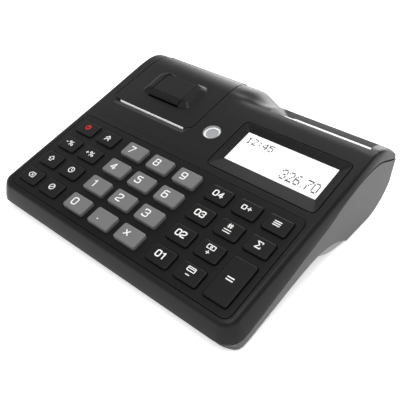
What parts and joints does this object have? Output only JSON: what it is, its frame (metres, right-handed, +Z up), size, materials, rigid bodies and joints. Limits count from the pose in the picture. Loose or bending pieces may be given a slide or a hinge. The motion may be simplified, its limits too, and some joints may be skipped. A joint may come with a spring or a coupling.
{
  "type": "ticket register",
  "caption": "Compact desktop ticket register with a sloping keypad, an operator display, a customer display and a clamshell receipt printer.",
  "frame": {"origin": "centre of the footprint, on the table", "axes": "+X to the right of the user, +Y to the rear, +Z up"},
  "size_m": [0.187, 0.1636, 0.0523],
  "materials": {
    "shell_dark": "fine texture, charcoal",
    "shell_light": "fine texture, light grey",
    "panel_dark": "smooth, near black",
    "silicone_grey": "moulded silicone",
    "board_green": "solder mask",
    "bezel_dark": "satin",
    "lens_clear": "clear lens",
    "module_dark": "display cell",
    "module_pale": "display cell, pale",
    "steel_pin": "ground",
    "rubber_black": "ground rubber",
    "gear_acetal": "natural acetal",
    "motor_steel": "plated can",
    "tray_black": "moulded, black",
    "head_ceramic": "heat sink",
    "paper_white": "thermal paper",
    "steel_bar": "serrated strip",
    "seal_pale": "smooth, pale grey",
    "battery_wrap": "shrink sleeve",
    "socket_black": "moulded, black",
    "rubber_feet": "moulded rubber",
    "steel_screw": "zinc plated",
    "key_grey": "fine texture, grey",
    "key_dark": "fine texture, near black"
  },
  "bodies": {
    "root": {"top_case": "shell_dark", "bottom_case": "shell_light", "keypad_panel": "panel_dark", "key_mat": "silicone_grey", "main_board": "board_green", "display_bezel": "bezel_dark", "display_glass": "lens_clear", "display_module": "module_dark", "customer_glass": "lens_clear", "customer_module": "module_pale", "hinge_pin": "steel_pin", "feed_motor": "motor_steel", "printer_tray": "tray_black", "paper_tongue": "paper_white", "seal_plug": "seal_pale", "battery_pack": "battery_wrap", "battery_door": "shell_light", "rear_sockets": "socket_black", "rubber_feet": "rubber_feet", "case_screws": "steel_screw"},
    "cover": {"printer_cover": "shell_dark", "tear_bar": "steel_bar"},
    "latch": {"cover_latch": "shell_dark"},
    "platen": {"platen_roller": "rubber_black", "platen_shaft": "steel_pin", "platen_gear": "gear_acetal"},
    "drive": {"drive_gear": "gear_acetal"},
    "roll": {"paper_roll": "paper_white"},
    "head": {"print_head": "head_ceramic"},
    "key_power": {"key_power": "key_dark"},
    "key_discount": {"key_discount": "key_dark"},
    "key_shift": {"key_shift": "key_dark"},
    "key_clear": {"key_clear": "key_dark"},
    "key_feed": {"key_feed": "key_dark"},
    "key_surcharge": {"key_surcharge": "key_dark"},
    "key_clock": {"key_clock": "key_dark"},
    "key_void": {"key_void": "key_dark"},
    "key_0": {"key_0": "key_grey"},
    "key_point": {"key_point": "key_grey"},
    "key_quantity": {"key_quantity": "key_grey"},
    "key_1": {"key_1": "key_grey"},
    "key_2": {"key_2": "key_grey"},
    "key_3": {"key_3": "key_grey"},
    "key_4": {"key_4": "key_grey"},
    "key_5": {"key_5": "key_grey"},
    "key_6": {"key_6": "key_grey"},
    "key_7": {"key_7": "key_grey"},
    "key_8": {"key_8": "key_grey"},
    "key_9": {"key_9": "key_grey"},
    "key_dept_4": {"key_dept_4": "key_dark"},
    "key_dept_3": {"key_dept_3": "key_dark"},
    "key_dept_2": {"key_dept_2": "key_dark"},
    "key_dept_1": {"key_dept_1": "key_dark"},
    "key_menu": {"key_menu": "key_dark"},
    "key_lookup": {"key_lookup": "key_dark"},
    "key_pay_1": {"key_pay_1": "key_dark"},
    "key_pay_2": {"key_pay_2": "key_dark"},
    "key_price": {"key_price": "key_dark"},
    "key_subtotal": {"key_subtotal": "key_dark"},
    "key_total": {"key_total": "key_dark"}
  },
  "joints": [
    {"name": "cover_hinge", "type": "hinge", "parent": "root", "child": "cover", "pos_m": [-0.04935, 0.06974, 0.04807], "axis": [-1, 0, 0], "range_deg": [0, 85]},
    {"name": "latch_tilt", "type": "hinge", "parent": "cover", "child": "latch", "pos_m": [-0.04935, 0.04288, 0.0497], "axis": [-1, 0, 0], "range_deg": [0, 18], "stiffness_Nm_per_rad": 0.02},
    {"name": "platen_spin", "type": "hinge", "parent": "cover", "child": "platen", "pos_m": [-0.04745, 0.01784, 0.0331], "axis": [1, 0, 0], "continuous": true},
    {"name": "drive_spin", "type": "hinge", "parent": "root", "child": "drive", "pos_m": [-0.08095, 0.01682, 0.02253], "axis": [1, 0, 0], "continuous": true},
    {"name": "roll_spin", "type": "hinge", "parent": "root", "child": "roll", "pos_m": [-0.04745, 0.04446, 0.0228], "axis": [1, 0, 0], "continuous": true},
    {"name": "head_tilt", "type": "hinge", "parent": "root", "child": "head", "pos_m": [-0.04745, 0.01087, 0.02531], "axis": [1, 0, 0], "range_deg": [0, 2.5], "stiffness_Nm_per_rad": 0.5},
    {"name": "key_power_press", "type": "slide", "parent": "root", "child": "key_power", "axis": [0, 0.2504, -0.9681], "range_m": [0, 0.001], "stiffness_N_per_m": 500},
    {"name": "key_discount_press", "type": "slide", "parent": "root", "child": "key_discount", "axis": [0, 0.2504, -0.9681], "range_m": [0, 0.001], "stiffness_N_per_m": 500},
    {"name": "key_shift_press", "type": "slide", "parent": "root", "child": "key_shift", "axis": [0, 0.2504, -0.9681], "range_m": [0, 0.001], "stiffness_N_per_m": 500},
    {"name": "key_clear_press", "type": "slide", "parent": "root", "child": "key_clear", "axis": [0, 0.2504, -0.9681], "range_m": [0, 0.001], "stiffness_N_per_m": 500},
    {"name": "key_feed_press", "type": "slide", "parent": "root", "child": "key_feed", "axis": [0, 0.2504, -0.9681], "range_m": [0, 0.001], "stiffness_N_per_m": 500},
    {"name": "key_surcharge_press", "type": "slide", "parent": "root", "child": "key_surcharge", "axis": [0, 0.2504, -0.9681], "range_m": [0, 0.001], "stiffness_N_per_m": 500},
    {"name": "key_clock_press", "type": "slide", "parent": "root", "child": "key_clock", "axis": [0, 0.2504, -0.9681], "range_m": [0, 0.001], "stiffness_N_per_m": 500},
    {"name": "key_void_press", "type": "slide", "parent": "root", "child": "key_void", "axis": [0, 0.2504, -0.9681], "range_m": [0, 0.001], "stiffness_N_per_m": 500},
    {"name": "key_0_press", "type": "slide", "parent": "root", "child": "key_0", "axis": [0, 0.2504, -0.9681], "range_m": [0, 0.001], "stiffness_N_per_m": 500},
    {"name": "key_point_press", "type": "slide", "parent": "root", "child": "key_point", "axis": [0, 0.2504, -0.9681], "range_m": [0, 0.001], "stiffness_N_per_m": 500},
    {"name": "key_quantity_press", "type": "slide", "parent": "root", "child": "key_quantity", "axis": [0, 0.2504, -0.9681], "range_m": [0, 0.001], "stiffness_N_per_m": 500},
    {"name": "key_1_press", "type": "slide", "parent": "root", "child": "key_1", "axis": [0, 0.2504, -0.9681], "range_m": [0, 0.001], "stiffness_N_per_m": 500},
    {"name": "key_2_press", "type": "slide", "parent": "root", "child": "key_2", "axis": [0, 0.2504, -0.9681], "range_m": [0, 0.001], "stiffness_N_per_m": 500},
    {"name": "key_3_press", "type": "slide", "parent": "root", "child": "key_3", "axis": [0, 0.2504, -0.9681], "range_m": [0, 0.001], "stiffness_N_per_m": 500},
    {"name": "key_4_press", "type": "slide", "parent": "root", "child": "key_4", "axis": [0, 0.2504, -0.9681], "range_m": [0, 0.001], "stiffness_N_per_m": 500},
    {"name": "key_5_press", "type": "slide", "parent": "root", "child": "key_5", "axis": [0, 0.2504, -0.9681], "range_m": [0, 0.001], "stiffness_N_per_m": 500},
    {"name": "key_6_press", "type": "slide", "parent": "root", "child": "key_6", "axis": [0, 0.2504, -0.9681], "range_m": [0, 0.001], "stiffness_N_per_m": 500},
    {"name": "key_7_press", "type": "slide", "parent": "root", "child": "key_7", "axis": [0, 0.2504, -0.9681], "range_m": [0, 0.001], "stiffness_N_per_m": 500},
    {"name": "key_8_press", "type": "slide", "parent": "root", "child": "key_8", "axis": [0, 0.2504, -0.9681], "range_m": [0, 0.001], "stiffness_N_per_m": 500},
    {"name": "key_9_press", "type": "slide", "parent": "root", "child": "key_9", "axis": [0, 0.2504, -0.9681], "range_m": [0, 0.001], "stiffness_N_per_m": 500},
    {"name": "key_dept_4_press", "type": "slide", "parent": "root", "child": "key_dept_4", "axis": [0, 0.2504, -0.9681], "range_m": [0, 0.001], "stiffness_N_per_m": 500},
    {"name": "key_dept_3_press", "type": "slide", "parent": "root", "child": "key_dept_3", "axis": [0, 0.2504, -0.9681], "range_m": [0, 0.001], "stiffness_N_per_m": 500},
    {"name": "key_dept_2_press", "type": "slide", "parent": "root", "child": "key_dept_2", "axis": [0, 0.2504, -0.9681], "range_m": [0, 0.001], "stiffness_N_per_m": 500},
    {"name": "key_dept_1_press", "type": "slide", "parent": "root", "child": "key_dept_1", "axis": [0, 0.2504, -0.9681], "range_m": [0, 0.001], "stiffness_N_per_m": 500},
    {"name": "key_menu_press", "type": "slide", "parent": "root", "child": "key_menu", "axis": [0, 0.2504, -0.9681], "range_m": [0, 0.001], "stiffness_N_per_m": 500},
    {"name": "key_lookup_press", "type": "slide", "parent": "root", "child": "key_lookup", "axis": [0, 0.2504, -0.9681], "range_m": [0, 0.001], "stiffness_N_per_m": 500},
    {"name": "key_pay_1_press", "type": "slide", "parent": "root", "child": "key_pay_1", "axis": [0, 0.2504, -0.9681], "range_m": [0, 0.001], "stiffness_N_per_m": 500},
    {"name": "key_pay_2_press", "type": "slide", "parent": "root", "child": "key_pay_2", "axis": [0, 0.2504, -0.9681], "range_m": [0, 0.001], "stiffness_N_per_m": 500},
    {"name": "key_price_press", "type": "slide", "parent": "root", "child": "key_price", "axis": [0, 0.2504, -0.9681], "range_m": [0, 0.001], "stiffness_N_per_m": 500},
    {"name": "key_subtotal_press", "type": "slide", "parent": "root", "child": "key_subtotal", "axis": [0, 0.2504, -0.9681], "range_m": [0, 0.001], "stiffness_N_per_m": 500},
    {"name": "key_total_press", "type": "slide", "parent": "root", "child": "key_total", "axis": [0, 0.2504, -0.9681], "range_m": [0, 0.001], "stiffness_N_per_m": 500}
  ],
  "couplings": [
    {"joint": "drive_spin", "follows": "platen_spin", "ratio": -0.90909}
  ]
}
